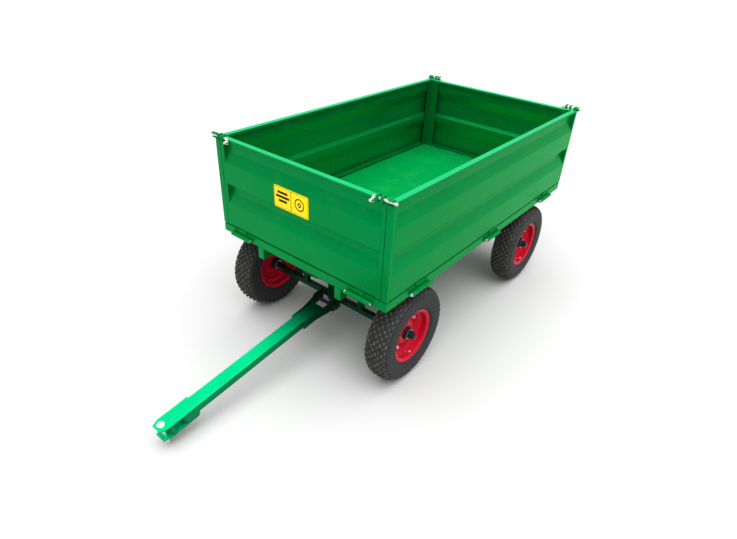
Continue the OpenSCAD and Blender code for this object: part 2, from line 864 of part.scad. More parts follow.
base_frame();
cross_members();
floor_sheet();
chassis_rails();
turntable_upper_plate();
kingpin();
rear_axle();
rear_axle_stands();
rear_axle_nuts();
frame_hinge_leaves();
hinge_pins();
front_axle();
turntable_struts();
kingpin_post();
turntable_lower_plate();
drawbar_yoke();
drawbar_pivot_bolt();
front_axle_nuts();
drawbar_tube();
drawbar_cheeks();
hitch_jaw();
hitch_pin();
at_long_side() side_sheet(box_l);  // left_side_sheet
at_long_side() side_posts(box_l);  // left_side_posts
color(green) at_long_side() long_hinges() side_leaf();  // left_side_hinge_leaves
union() { keeper(); to_rear() keeper(); }  // left_side_keepers
to_right() at_long_side() side_sheet(box_l);  // right_side_sheet
to_right() at_long_side() side_posts(box_l);  // right_side_posts
color(green) to_right() at_long_side() long_hinges() side_leaf();  // right_side_hinge_leaves
to_right() { keeper(); to_rear() keeper(); }  // right_side_keepers
at_end_side() side_sheet(end_side_l);  // front_side_sheet
at_end_side() side_posts(end_side_l);  // front_side_posts
color(green) at_end_side() end_hinges() side_leaf();  // front_side_hinge_leaves
both_y() corner_guides();  // front_side_guides
at_rear_side() side_sheet(end_side_l);  // rear_side_sheet
at_rear_side() side_posts(end_side_l);  // rear_side_posts
color(green) at_rear_side() end_hinges() side_leaf();  // rear_side_hinge_leaves
both_y() to_rear() corner_guides();  // rear_side_guides
front_label();
latch_bolt();  // latch_front_left
to_right() latch_bolt();  // latch_front_right
to_rear() latch_bolt();  // latch_rear_left
to_right() to_rear() latch_bolt();  // latch_rear_right
front_wheel() tyre();  // tyre_front_left
front_wheel() rim();  // rim_front_left
front_wheel() hub();  // hub_front_left
front_wheel() bearings();  // bearings_front_left
to_right() front_wheel() tyre();  // tyre_front_right
to_right() front_wheel() rim();  // rim_front_right
to_right() front_wheel() hub();  // hub_front_right
to_right() front_wheel() bearings();  // bearings_front_right
rear_wheel() tyre();  // tyre_rear_left
rear_wheel() rim();  // rim_rear_left
rear_wheel() hub();  // hub_rear_left
rear_wheel() bearings();  // bearings_rear_left
to_right() rear_wheel() tyre();  // tyre_rear_right
to_right() rear_wheel() rim();  // rim_rear_right
to_right() rear_wheel() hub();  // hub_rear_right
to_right() rear_wheel() bearings();  // bearings_rear_right
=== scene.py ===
import json
import math

import bmesh
import bpy
from mathutils import Matrix, Vector


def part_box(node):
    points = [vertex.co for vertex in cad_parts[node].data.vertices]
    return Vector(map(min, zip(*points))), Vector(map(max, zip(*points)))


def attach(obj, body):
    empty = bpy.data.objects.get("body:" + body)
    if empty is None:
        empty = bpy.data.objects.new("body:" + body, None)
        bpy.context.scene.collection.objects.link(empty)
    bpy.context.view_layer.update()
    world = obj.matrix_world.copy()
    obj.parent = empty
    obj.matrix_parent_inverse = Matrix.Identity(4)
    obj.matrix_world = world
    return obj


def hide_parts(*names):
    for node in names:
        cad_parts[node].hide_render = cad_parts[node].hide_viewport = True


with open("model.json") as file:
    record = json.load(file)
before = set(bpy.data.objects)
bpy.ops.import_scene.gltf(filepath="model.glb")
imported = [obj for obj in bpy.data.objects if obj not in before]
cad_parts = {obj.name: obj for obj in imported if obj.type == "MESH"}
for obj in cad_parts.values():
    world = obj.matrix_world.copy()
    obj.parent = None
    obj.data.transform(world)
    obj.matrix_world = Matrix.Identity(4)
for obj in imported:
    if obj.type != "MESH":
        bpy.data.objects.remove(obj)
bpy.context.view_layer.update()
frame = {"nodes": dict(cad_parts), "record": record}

record = frame["record"]
body_of = {node: body for body, nodes in record["behaviour"]["bodies"].items() for node in nodes}
slot_of = {part["node"]: part["material_slot"] for part in record["subparts"]}

mm = 0.001
QUARTER = math.pi / 2
FULL_TURN = 2 * math.pi

# ---------------------------------------------------------------- sizes shared by several pieces

sheet = 2 * mm
bend_radius = 5 * mm
bolt_radius = 5 * mm
tyre_radius = 200 * mm
tyre_half_width = 53 * mm
wheel_plane = 373 * mm
axle_height = 200 * mm
rim_sheet = 3 * mm

rim_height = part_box("left_side_sheet")[1].z

ENDS = ("front", "rear")
HANDS = ("left", "right")
CORNERS = [f"{end}_{hand}" for end in ENDS for hand in HANDS]


# ---------------------------------------------------------------- shader maths

class Value:
    """A number or colour inside a material, so that maths on it can be written as an expression."""

    def __init__(self, finish, socket):
        self.finish = finish
        self.socket = socket

    def _math(self, operation, first, second):
        return self.finish.node("ShaderNodeMath", {"operation": operation}, {0: first, 1: second})

    def __add__(self, other):
        return self._math("ADD", self, other)

    __radd__ = __add__

    def __mul__(self, other):
        return self._math("MULTIPLY", self, other)

    __rmul__ = __mul__

    def __sub__(self, other):
        return self._math("SUBTRACT", self, other)

    def __rsub__(self, other):
        return self._math("SUBTRACT", other, self)


class Finish:
    """One procedural material, with a Principled shader and the nodes that feed it."""

    def __init__(self, name):
        self.material = bpy.data.materials.new(name)
        self.material.use_nodes = True
        self.tree = self.material.node_tree
        self.shader = self.tree.nodes["Principled BSDF"]
        self.place = self.node("ShaderNodeTexCoord", {}, {}, "Object")

    def set_input(self, socket, value):
        if isinstance(value, Value):
            self.tree.links.new(value.socket, socket)
        else:
            socket.default_value = value

    def node(self, kind, settings, inputs, output=0):
        made = self.tree.nodes.new(kind)
        for key, setting in settings.items():
            if key == "stops":
                self.set_stops(made.color_ramp, setting)
            else:
                setattr(made, key, setting)
        for key, value in inputs.items():
            self.set_input(made.inputs[key], value)
        return Value(self, made.outputs[output])

    def set_stops(self, ramp, stops):
        while len(ramp.elements) < len(stops):
            ramp.elements.new(0.5)
        for element, (position, shade) in zip(ramp.elements, stops):
            element.position = position
            element.color = (shade, shade, shade, 1)

    def noise(self, scale, detail=3, roughness=0.5):
        sizes = {"Vector": self.place, "Scale": scale, "Detail": detail, "Roughness": roughness}
        return self.node("ShaderNodeTexNoise", {}, sizes, "Fac")

    def patches(self, scale, low, high):
        """Noise cut to separate patches: 0 below low and 1 above high."""
        stops = {"stops": [(low, 0), (high, 1)]}
        return self.node("ShaderNodeValToRGB", stops, {"Fac": self.noise(scale)})

    def blend(self, amount, first, second):
        return self.node("ShaderNodeMix", {"data_type": "RGBA"}, {0: amount, 6: first, 7: second}, 2)

    def along(self, axis, low, high):
        """0 where the object's own coordinate is low, rising to 1 where it is high."""
        spread = self.node("ShaderNodeSeparateXYZ", {}, {0: self.place}, axis)
        span = {"Value": spread, "From Min": low, "From Max": high}
        return self.node("ShaderNodeMapRange", {"interpolation_type": "SMOOTHSTEP"}, span)

    def bump(self, height, strength, depth, under=None):
        inputs = {"Height": height, "Strength": strength, "Distance": depth}
        if under is not None:
            inputs["Normal"] = under
        return self.node("ShaderNodeBump", {}, inputs)

    def fill(self, **inputs):
        """Sets the shader's own sockets, with a space for each underscore in a name."""
        for key, value in inputs.items():
            self.set_input(self.shader.inputs[key.replace("_", " ")], value)
        return self.material


def shade(red, green, blue):
    return (red, green, blue, 1)


def enamel(name, deep, light, tint, flake=0.0, gloss=0.22):
    """Sprayed gloss paint with a little orange peel, slow colour drift and faint dust."""
    paint = Finish(name)
    drift = paint.noise(2.2, 4)
    dust = paint.patches(9, 0.52, 0.78)
    colour = paint.blend(drift, deep, light)
    dusty = paint.blend(dust * 0.03, colour, shade(0.30, 0.30, 0.24))
    peel = paint.bump(paint.noise(420, 2), 0.05, 0.4 * mm)
    waves = paint.bump(paint.noise(7, 1), 0.12, 4 * mm, peel)
    return paint.fill(
        Base_Color=dusty,
        Roughness=gloss + paint.noise(30) * 0.10 + dust * 0.10,
        Metallic=flake,
        IOR=1.25,
        Specular_Tint=tint,
        Normal=waves,
    )


def bar_enamel(name, shaded, mid, lit, tint):
    """The drawbar's paint with painted light and shade: painted shade, dark and duller, towards the yoke,
    rising to painted light, brighter and glossier, at the hitch.
    """
    paint = Finish(name)
    # the ramp from painted shade at the yoke to painted light at the hitch, which also makes the paint
    # glossier towards the hitch
    painted_light_ramp = paint.along("X", BAR_SHADE_UNTIL, BAR_LIGHT_FROM)
    drift = paint.noise(5, 3)
    colour = paint.blend(painted_light_ramp, shaded, paint.blend(drift, mid, lit))
    peel = paint.bump(paint.noise(420, 2), 0.05, 0.4 * mm)
    return paint.fill(
        Base_Color=colour,
        Roughness=0.34 - painted_light_ramp * 0.12 + drift * 0.08,
        Metallic=0.5,
        IOR=1.3,
        Specular_Tint=tint,
        Normal=peel,
    )


def zinc_plate(name):
    """Bright zinc with cloudy spangle and fine draw marks."""
    plate = Finish(name)
    cloud = plate.noise(60, 4)
    stain = plate.patches(140, 0.5, 0.8)
    colour = plate.blend(cloud, shade(0.62, 0.62, 0.58), shade(0.86, 0.86, 0.83))
    stained = plate.blend(stain * 0.3, colour, shade(0.45, 0.42, 0.34))
    return plate.fill(
        Base_Color=stained,
        Metallic=0.9,
        Roughness=0.24 + cloud * 0.22,
        Normal=plate.bump(plate.noise(700, 2), 0.1, 0.3 * mm),
    )


def ground_steel(name):
    steel = Finish(name)
    cloud = steel.noise(90, 3)
    colour = steel.blend(cloud, shade(0.42, 0.43, 0.45), shade(0.66, 0.67, 0.70))
    return steel.fill(Base_Color=colour, Metallic=1.0, Roughness=0.18 + cloud * 0.16)


def rubber(name, dark, dusty, amount):
    """Matt rubber with paler patches of dust; on the tread the paler colour is also a painted highlight on
    the blocks.
    """
    skin = Finish(name)
    # paler patches: dust, and on the tread also a painted highlight
    dust = skin.patches(46, 0.36, 0.72) * amount
    fine = skin.noise(320, 3)
    return skin.fill(
        Base_Color=skin.blend(dust, dark, dusty),
        Roughness=0.58 + fine * 0.18 + dust * 0.1,
        Specular_IOR_Level=0.42,
        Normal=skin.bump(fine, 0.25, 0.5 * mm),
    )


def film(name, colour, worn):
    """Glossy printed film with faint scuffs."""
    skin = Finish(name)
    scuff = skin.patches(70, 0.55, 0.8)
    return skin.fill(
        Base_Color=skin.blend(scuff * 0.2, colour, worn),
        Roughness=0.42 + scuff * 0.2,
        IOR=1.2,
        Normal=skin.bump(skin.noise(240, 2), 0.06, 0.3 * mm),
    )


# the stretch over which the drawbar's paint goes from painted shade near the yoke to painted light at the
# hitch
cheek_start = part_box("drawbar_cheeks")[0].x
BAR_SHADE_UNTIL = cheek_start + 90 * mm
BAR_LIGHT_FROM = cheek_start + 330 * mm

LEAF_TINT = shade(0.02, 1.0, 0.50)
MINT_TINT = shade(0.02, 1.0, 0.62)

MATERIALS = {
    "green_paint": enamel(
        "green_enamel", shade(0.0, 0.185, 0.038), shade(0.0, 0.245, 0.054), LEAF_TINT, 0.6
    ),
    # a lighter, glossier copy of the box paint for the top edges of the sides and posts: a painted highlight
    "rim_highlight_green": enamel(
        "rim_highlight_enamel", shade(0.004, 0.36, 0.115), shade(0.006, 0.52, 0.200), MINT_TINT, 0.5, 0.16
    ),
    # the floor's paint is a lighter copy of the box paint, as painted light from above
    "floor_lit_green": enamel(
        "floor_lit_enamel", shade(0.0, 0.30, 0.060), shade(0.0, 0.40, 0.085), LEAF_TINT, 0.5
    ),
    # a near-black copy of the green paint for the running gear under the box: painted shade
    "shaded_green": enamel(
        "underside_shade_enamel", shade(0.0, 0.016, 0.006), shade(0.0, 0.034, 0.012), shade(0.05, 1.0, 0.60),
        0.3, 0.34
    ),
    # the drawbar's two paints are lit and shaded copies of one paint: painted light on its top faces,
    # painted shade on its sides, and both darken towards the yoke as painted shade
    "bar_lit_top_green": bar_enamel(
        "drawbar_lit_top_enamel", shade(0.0, 0.045, 0.014), shade(0.0, 0.42, 0.15), shade(0.0, 0.56, 0.23), MINT_TINT
    ),
    "bar_shaded_side_green": bar_enamel(
        "drawbar_shaded_side_enamel", shade(0.0, 0.030, 0.010), shade(0.0, 0.150, 0.046),
        shade(0.0, 0.200, 0.070), MINT_TINT
    ),
    "red_paint": enamel(
        "red_enamel", shade(0.34, 0.001, 0.012), shade(0.46, 0.003, 0.020), shade(1.0, 0.35, 0.4)
    ),
    "black_paint": enamel(
        "black_enamel", shade(0.010, 0.010, 0.012), shade(0.020, 0.020, 0.022), shade(1, 1, 1)
    ),
    "zinc_steel": zinc_plate("zinc_plate"),
    "bearing_steel": ground_steel("ground_steel"),
    "tyre_rubber": rubber(
        "sidewall_rubber", shade(0.004, 0.006, 0.007), shade(0.016, 0.019, 0.020), 0.6
    ),
    # the tread blocks are paler than the darker carcass between them: partly dust, partly a painted
    # highlight on the blocks
    "tread_rubber": rubber("tread_rubber", shade(0.016, 0.015, 0.012), shade(0.085, 0.076, 0.056), 0.9),
    "label_film": film("label_film", shade(1.0, 0.68, 0.0), shade(0.80, 0.55, 0.01)),
    "label_ink": film("label_ink", shade(0.012, 0.012, 0.012), shade(0.05, 0.045, 0.03)),
}


# ---------------------------------------------------------------- bench tools

def clear_bench():
    if bpy.context.object and bpy.context.object.mode != "OBJECT":
        bpy.ops.object.mode_set(mode="OBJECT")
    bpy.ops.object.select_all(action="DESELECT")


def take(piece):
    clear_bench()
    bpy.context.view_layer.objects.active = piece
    piece.select_set(True)


def open_piece(piece):
    take(piece)
    bpy.ops.object.mode_set(mode="EDIT")
    bpy.ops.mesh.select_all(action="SELECT")


def pick(piece, group, test):
    """In edit mode, selects just the verts, edges or faces that pass a test."""
    modes = {"verts": (True, False, False), "edges": (False, True, False), "faces": (False, False, True)}
    bpy.context.tool_settings.mesh_select_mode = modes[group]
    bpy.ops.mesh.select_all(action="DESELECT")
    mesh = bmesh.from_edit_mesh(piece.data)
    for element in getattr(mesh, group):
        if test(element):
            element.select_set(True)
    bmesh.update_edit_mesh(piece.data)


def push(x, y, z):
    bpy.ops.mesh.extrude_region_move(TRANSFORM_OT_translate={"value": (x, y, z)})


def draw_line(points, name):
    """A plane merged to one point, then extruded from point to point. It is left in edit mode."""
    clear_bench()
    bpy.ops.mesh.primitive_plane_add(size=mm, location=points[0])
    piece = bpy.context.object
    piece.name = name
    settle(piece)
    open_piece(piece)
    bpy.context.tool_settings.mesh_select_mode = (True, False, False)
    bpy.ops.mesh.merge(type="CENTER")
    for here, there in zip(points, points[1:]):
        step = Vector(there) - Vector(here)
        bpy.ops.mesh.extrude_vertices_move(TRANSFORM_OT_translate={"value": step})
    return piece


def face_outwards():
    bpy.ops.mesh.select_all(action="SELECT")
    bpy.ops.mesh.remove_doubles(threshold=0.01 * mm)
    bpy.ops.mesh.normals_make_consistent(inside=False)


def turn_round(steps=96):
    """Spins what is drawn a full turn round the Y axis and closes the seam."""
    bpy.ops.mesh.select_all(action="SELECT")
    bpy.ops.mesh.spin(steps=steps, angle=FULL_TURN, center=(0, 0, 0), axis=(0, 1, 0))
    face_outwards()


def apply_modifier(piece, kind, **settings):
    take(piece)
    modifier = piece.modifiers.new(kind.lower(), kind)
    for key, value in settings.items():
        setattr(modifier, key, value)
    bpy.ops.object.modifier_apply(modifier=modifier.name)


def soften(piece, edge, segments=3, crease=32):
    """Rounds the sharp edges, then shades the piece as pressed or ground metal."""
    if edge:
        apply_modifier(
            piece, "BEVEL", width=edge, segments=segments, limit_method="ANGLE",
            angle_limit=math.radians(crease), use_clamp_overlap=True,
        )
    take(piece)
    bpy.ops.object.shade_smooth_by_angle(angle=math.radians(38))
    apply_modifier(piece, "WEIGHTED_NORMAL", keep_sharp=True)


def settle(piece):
    """Puts the piece's place into its mesh."""
    take(piece)
    bpy.ops.object.transform_apply(location=True, rotation=True, scale=True)


def give(piece, body, slot, *nodes, material=None):
    """Hands a finished piece its material, picked by its slot name unless another is named, and its body,
    and hides the nodes it stands for.
    """
    if not piece.data.materials:
        piece.data.materials.append(MATERIALS[material or slot])
    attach(piece, body)
    if nodes:
        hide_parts(*nodes)


def join(pieces, name):
    take(pieces[0])
    for piece in pieces:
        piece.select_set(True)
    bpy.ops.object.join()
    pieces[0].name = name
    return pieces[0]


def copy_of(model, name, matrix):
    piece = bpy.data.objects.new(name, model.data.copy())
    bpy.context.scene.collection.objects.link(piece)
    piece.matrix_world = matrix
    settle(piece)
    return piece


def scrap(*models):
    for model in models:
        bpy.data.objects.remove(model)


# ---------------------------------------------------------------- welded and machined steel

def cleaned_copy(node, name):
    """The node's own shape, merged to whole faces so that it can be shaped further."""
    piece = bpy.data.objects.new(name, frame["nodes"][node].data.copy())
    bpy.context.scene.collection.objects.link(piece)
    piece.data.materials.clear()
    open_piece(piece)
    bpy.ops.mesh.remove_doubles(threshold=0.01 * mm)
    bpy.ops.mesh.dissolve_limited(angle_limit=math.radians(0.5))
    clear_bench()
    return piece


# how far the edges of each welded, folded or machined piece are rounded, in millimetres
STEEL_EDGES = {
    "base_frame": 2.0, "cross_members": 1.2, "floor_sheet": 0.6, "chassis_rails": 2.0,
    "turntable_upper_plate": 1.0, "kingpin": 0.8, "rear_axle": 1.5, "rear_axle_stands": 1.0,
    "rear_axle_nuts": 0.8, "frame_hinge_leaves": 0.7, "hinge_pins": 0.8,
    "front_axle": 1.5, "turntable_struts": 1.0, "kingpin_post": 0.8, "turntable_lower_plate": 1.0,
    "drawbar_yoke": 1.0, "drawbar_pivot_bolt": 0.8, "front_axle_nuts": 0.8,
    "drawbar_tube": 1.4, "drawbar_cheeks": 1.2, "hitch_jaw": 1.4, "hitch_pin": 0.6,
    "left_side_posts": 0.9, "right_side_posts": 0.9, "front_side_posts": 0.9, "rear_side_posts": 0.9,
    "left_side_hinge_leaves": 0.7, "right_side_hinge_leaves": 0.7,
    "front_side_hinge_leaves": 0.7, "rear_side_hinge_leaves": 0.7,
    "left_side_keepers": 0.7, "right_side_keepers": 0.7,
    "front_side_guides": 0.9, "rear_side_guides": 0.9,
}


# nodes whose paint differs from the box: the running gear, painted near-black green as painted shade, and
# the drawbar, whose paint carries painted light and shade
RUNNING_GEAR = (
    "front_axle", "rear_axle", "turntable_struts", "kingpin_post", "turntable_lower_plate",
    "turntable_upper_plate", "drawbar_yoke", "rear_axle_stands",
)
PAINT_OF = {
    **{node: "shaded_green" for node in RUNNING_GEAR},
    # the floor sheet takes the lighter paint as painted light
    "floor_sheet": "floor_lit_green",
    **{node: "black_paint" for node in ("drawbar_pivot_bolt", "kingpin")},
}


DRAWBAR = ("drawbar_tube", "drawbar_cheeks", "hitch_jaw")


def paint_in_two(piece, main, second, test):
    """Gives a piece its main paint, and a second one on the faces that pass a test."""
    piece.data.materials.append(MATERIALS[main])
    piece.data.materials.append(MATERIALS[second])
    for face in piece.data.polygons:
        if test(face):
            face.material_index = 1


# the upward faces along the top edge of the sides and posts, which get the painted highlight
def on_lit_top_rim(face):
    return face.normal.z > 0.9 and face.center.z > rim_height - 1 * mm


def on_stub(face):
    return abs(face.center.y) > wheel_plane - tyre_half_width


# faces that don't face up, which take the painted-shade copy of the drawbar's paint
def off_the_lit_top(face):
    return face.normal.z < 0.7


def make_steelwork():
    wheel_steel = {f"{part}_{corner}": 0.8 for part in ("hub", "bearings") for corner in CORNERS}
    for node, edge in {**STEEL_EDGES, **wheel_steel}.items():
        piece = cleaned_copy(node, f"{node}_dressed")
        soften(piece, edge * mm)
        # the posts' top faces get the painted-highlight copy of the box paint
        if node.endswith("_side_posts"):
            paint_in_two(piece, "green_paint", "rim_highlight_green", on_lit_top_rim)
        if node.endswith("_axle"):
            paint_in_two(piece, "shaded_green", "black_paint", on_stub)
        # the drawbar's sides get the painted-shade copy of its paint, its top the painted-light copy
        if node in DRAWBAR:
            paint_in_two(piece, "bar_lit_top_green", "bar_shaded_side_green", off_the_lit_top)
        give(piece, body_of[node], slot_of[node], node, material=PAINT_OF.get(node))


# ---------------------------------------------------------------- pressed drop sides

# depth from the outer face and height above the bottom edge of each fold, in millimetres
SIDE_FOLDS = [
    (27, 352), (27, 364), (0, 364), (0, 356), (18, 354), (18, 312), (0, 266), (0, 180),
    (18, 172), (18, 144), (0, 98), (0, 0), (27, 0), (27, 12),
]
SIDE_TURNS = {"left": 0, "right": 2, "front": -1, "rear": 1}


def make_side_sheet(side):
    node = f"{side}_side_sheet"
    low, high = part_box(node)
    along_x = side in HANDS
    length = (high.x - low.x) if along_x else (high.y - low.y)
    folds = [Vector((-length / 2, -depth * mm, height * mm)) for depth, height in SIDE_FOLDS]
    piece = draw_line(folds, f"{side}_side_pressing")
    bpy.ops.mesh.select_all(action="SELECT")
    push(length, 0, 0)
    pick(piece, "edges", lambda edge: len(edge.link_faces) == 2)
    bpy.ops.mesh.bevel(offset=bend_radius, segments=4, affect="EDGES", clamp_overlap=True)
    bpy.ops.mesh.select_all(action="SELECT")
    bpy.ops.mesh.normals_make_consistent(inside=False)
    clear_bench()
    faces_out = max(piece.data.polygons, key=lambda face: face.area)
    inwards = -1 if faces_out.normal.y > 0 else 1
    apply_modifier(piece, "SOLIDIFY", thickness=sheet, offset=inwards, use_even_offset=True)
    middle = (low + high) / 2
    outer = {"left": high.y, "right": low.y, "front": high.x, "rear": low.x}[side]
    spot = (middle.x, outer, low.z) if along_x else (outer, middle.y, low.z)
    piece.matrix_world = Matrix.Translation(spot) @ Matrix.Rotation(SIDE_TURNS[side] * QUARTER, 4, "Z")
    settle(piece)
    soften(piece, 0.4 * mm, segments=2)
    # the sheet's top edge gets the painted-highlight copy of the box paint
    paint_in_two(piece, "green_paint", "rim_highlight_green", on_lit_top_rim)
    give(piece, f"{side}_side", slot_of[node], node)


# ---------------------------------------------------------------- latch bolts

def make_latch_bolt(corner):
    """A round bar bent down to a handle and forward to a finger grip."""
    node = f"latch_{corner}"
    low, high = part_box(node)
    ahead = 1 if corner.startswith("front") else -1
    out = 1 if corner.endswith("left") else -1
    bar_x = (low.x if ahead > 0 else high.x) + ahead * bolt_radius
    bar_z = high.z - bolt_radius
    grip_z = low.z + bolt_radius
    grip_end = high.x if ahead > 0 else low.x
    outer_y = high.y if out > 0 else low.y
    inner_y = (low.y if out > 0 else high.y) + out * bolt_radius
    bend = 8 * mm
    clear_bench()
    bpy.ops.mesh.primitive_circle_add(
        vertices=20, radius=bolt_radius, fill_type="NOTHING",
        location=(bar_x, outer_y, bar_z), rotation=(QUARTER, 0, 0),
    )
    piece = bpy.context.object
    piece.name = f"{node}_bent_bar"
    settle(piece)
    open_piece(piece)
    push(0, inner_y + out * bend - outer_y, 0)
    hub = (bar_x, inner_y + out * bend, bar_z - bend)
    bpy.ops.mesh.spin(steps=8, angle=out * QUARTER, center=hub, axis=(-1, 0, 0))
    push(0, 0, grip_z + bend - (bar_z - bend))
    hub = (bar_x + ahead * bend, inner_y, grip_z + bend)
    bpy.ops.mesh.spin(steps=8, angle=ahead * QUARTER, center=hub, axis=(0, -1, 0))
    push(grip_end - (bar_x + ahead * bend), 0, 0)
    bpy.ops.mesh.select_all(action="SELECT")
    bpy.ops.mesh.fill_holes(sides=0)
    face_outwards()
    clear_bench()
    soften(piece, 1.2 * mm, crease=60)
    give(piece, node, slot_of[node], node)


# ---------------------------------------------------------------- wheels, made about the Y axis
# The outer side of a wheel is at +Y.

tread_depth = 6 * mm
bead_radius = 102 * mm
bead_half = 35.5 * mm
flange_radius = 115 * mm
flange_half = 40 * mm
belly_radius = (tyre_radius + flange_radius) / 2
carcass_wall = 9 * mm
RING_RADII = (122 * mm, 170 * mm)
PITCHES = 44
SQUARENESS = 0.75
# distance from the middle, width, length round the tyre and shift of each row of blocks
TREAD_ROWS = [
    (0, 9, 13, 0.0), (12.5, 9, 12, 0.5), (25, 9, 13, 0.0), (36.5, 8, 12, 0.5), (45.5, 9, 15, 0.0),
]


def squared(angle):
    """A quarter of a rounded square."""
    return max(math.cos(angle), 0) ** SQUARENESS, max(math.sin(angle), 0) ** SQUARENESS


def tyre_section(half_width, top, bead, foot, step):
    """Half of a tyre's section, from its bead up the flange and round to the middle of the tread."""
    points = [(bead, bead_radius)]
    for degrees in range(90, 0, -step):
        across, down = squared(math.radians(degrees))
        radius = belly_radius - (belly_radius - flange_radius) * down
        points.append((foot + (half_width - foot) * across, radius))
    for degrees in range(0, 91, step):
        across, up = squared(math.radians(degrees))
        points.append((half_width * across, belly_radius + (top - belly_radius) * up))
    return points


def both_halves(points):
    mirrored = [(-across, radius) for across, radius in reversed(points[:-1])]
    return points + mirrored


def make_carcass():
    base_top = tyre_radius - tread_depth
    wall = carcass_wall
    outside = both_halves(tyre_section(tyre_half_width - 1 * mm, base_top, bead_half, flange_half, 10))
    inside = both_halves(
        tyre_section(tyre_half_width - wall, base_top - wall, bead_half - wall, flange_half - wall, 15)
    )
    loop = outside + list(reversed(inside))
    line = [Vector((0, across, radius)) for across, radius in loop + loop[:1]]
    piece = draw_line(line, "tyre_carcass")
    turn_round(steps=120)
    # two raised rings on each sidewall
    for ring in RING_RADII:
        pick(piece, "faces", lambda face: is_ring(face, ring))
        bpy.ops.mesh.inset(thickness=0.6 * mm, depth=1.1 * mm, use_boundary=True)
    clear_bench()
    piece.data.materials.append(MATERIALS["tyre_rubber"])
    return piece


def is_ring(face, radius):
    middle = face.calc_center_median()
    reach = math.hypot(middle.x, middle.z)
    outwards = face.normal.y * middle.y > 0
    return outwards and abs(middle.y) > 0.7 * tyre_half_width and abs(reach - radius) < 3.2 * mm


def crown_radius(across):
    angle = math.acos(min(across / tyre_half_width, 1) ** (1 / SQUARENESS))
    return belly_radius + (tyre_radius - belly_radius) * math.sin(angle) ** SQUARENESS


def carcass_slope(across):
    """Radius and lean of the tread's crown at a distance from the middle."""
    step = 0.5 * mm
    radius = crown_radius(across)
    return radius, math.atan2(radius - crown_radius(across + step), step)


def make_block(across, width, length, shift, hand):
    """One tread block: a cube drawn in and chamfered at its top, leaning with the crown."""
    radius, lean = carcass_slope(abs(across))
    turn = shift * FULL_TURN / PITCHES
    depth = tread_depth + 3 * mm
    clear_bench()
    bpy.ops.mesh.primitive_cube_add(size=1, location=(0, 0, -depth / 2), scale=(length, width, depth))
    block = bpy.context.object
    settle(block)
    open_piece(block)
    pick(block, "faces", lambda face: face.normal.z > 0.9)
    bpy.ops.transform.resize(value=(0.86, 0.82, 1))
    pick(block, "edges", lambda edge: all(vert.co.z > -depth / 4 for vert in edge.verts))
    bpy.ops.mesh.bevel(offset=1.1 * mm, segments=1, affect="EDGES")
    pick(block, "faces", lambda face: face.normal.z < -0.9)
    bpy.ops.mesh.delete(type="FACE")
    clear_bench()
    tilt = Matrix.Rotation(-hand * lean, 4, "X")
    lift = Matrix.Translation((0, across, radius))
    block.matrix_world = Matrix.Rotation(turn, 4, "Y") @ lift @ tilt
    settle(block)
    return block


def make_tread():
    blocks = []
    for across, width, length, shift in TREAD_ROWS:
        for hand in (1, -1):
            if across == 0 and hand < 0:
                continue
            blocks.append(make_block(hand * across * mm, width * mm, length * mm, shift, hand))
    tread = join(blocks, "tyre_tread")
    open_piece(tread)
    bpy.ops.mesh.spin(
        steps=PITCHES - 1, angle=FULL_TURN * (PITCHES - 1) / PITCHES, dupli=True,
        center=(0, 0, 0), axis=(0, 1, 0),
    )
    clear_bench()
    tread.data.materials.append(MATERIALS["tread_rubber"])
    return tread


def make_tyre():
    carcass = make_carcass()
    tread = make_tread()
    return join([carcass, tread], "tyre_model")


# distance from the middle plane and radius of each fold of a half rim, in millimetres
RIM_FOLDS = [
    (42.1, 113.4), (37.2, 100.3), (17, 100.3), (10.6, 82.5),
    (2.5, 76.5), (2.5, 60), (10.5, 43.4), (10.5, 26.6),
]


def make_rim():
    """Two pressed halves back to back, each spun from its folds and given its thickness."""
    halves = []
    for hand in (1, -1):
        line = [Vector((0, hand * across * mm, radius * mm)) for across, radius in RIM_FOLDS]
        half = draw_line(line, "rim_half")
        bpy.ops.mesh.select_all(action="SELECT")
        bpy.ops.mesh.spin(steps=96, angle=FULL_TURN, center=(0, 0, 0), axis=(0, 1, 0))
        face_outwards()
        clear_bench()
        apply_modifier(half, "SOLIDIFY", thickness=rim_sheet, offset=0, use_even_offset=True)
        halves.append(half)
    rim = join(halves, "rim_model")
    open_piece(rim)
    pick(rim, "edges", lambda edge: is_sharp_fold(edge))
    bpy.ops.mesh.bevel(offset=1.0 * mm, segments=2, affect="EDGES", clamp_overlap=True)
    clear_bench()
    soften(rim, 0)
    return rim


def is_sharp_fold(edge):
    """An edge that runs round the wheel and turns through more than about 17 degrees."""
    level = abs(edge.verts[0].co.y - edge.verts[1].co.y) < 0.05 * mm
    return level and len(edge.link_faces) == 2 and edge.calc_face_angle(0) > 0.3


RIM_BOLTS = 4
rim_bolt_circle = 68 * mm
rim_face = 4 * mm
washer_thick = 1.2 * mm
bolt_head = 5 * mm


def make_rim_bolt():
    """A hexagon head on a washer, with a chamfered crown."""
    clear_bench()
    bpy.ops.mesh.primitive_cylinder_add(
        vertices=24, radius=8.5 * mm, depth=washer_thick,
        location=(0, rim_face + washer_thick / 2, 0), rotation=(-QUARTER, 0, 0),
    )
    washer = bpy.context.object
    settle(washer)
    bpy.ops.mesh.primitive_cylinder_add(
        vertices=6, radius=7 * mm, depth=bolt_head,
        location=(0, rim_face + washer_thick + bolt_head / 2, 0), rotation=(-QUARTER, 0, 0),
    )
    head = bpy.context.object
    settle(head)
    open_piece(head)
    pick(head, "faces", lambda face: face.normal.y > 0.9)
    bpy.ops.mesh.inset(thickness=0.8 * mm, depth=0.6 * mm)
    bpy.ops.mesh.inset(thickness=2.0 * mm, depth=0)
    push(0, 2.6 * mm, 0)
    clear_bench()
    bolt = join([washer, head], "rim_bolt")
    bolt.data.transform(Matrix.Translation((0, 0, rim_bolt_circle)))
    return bolt


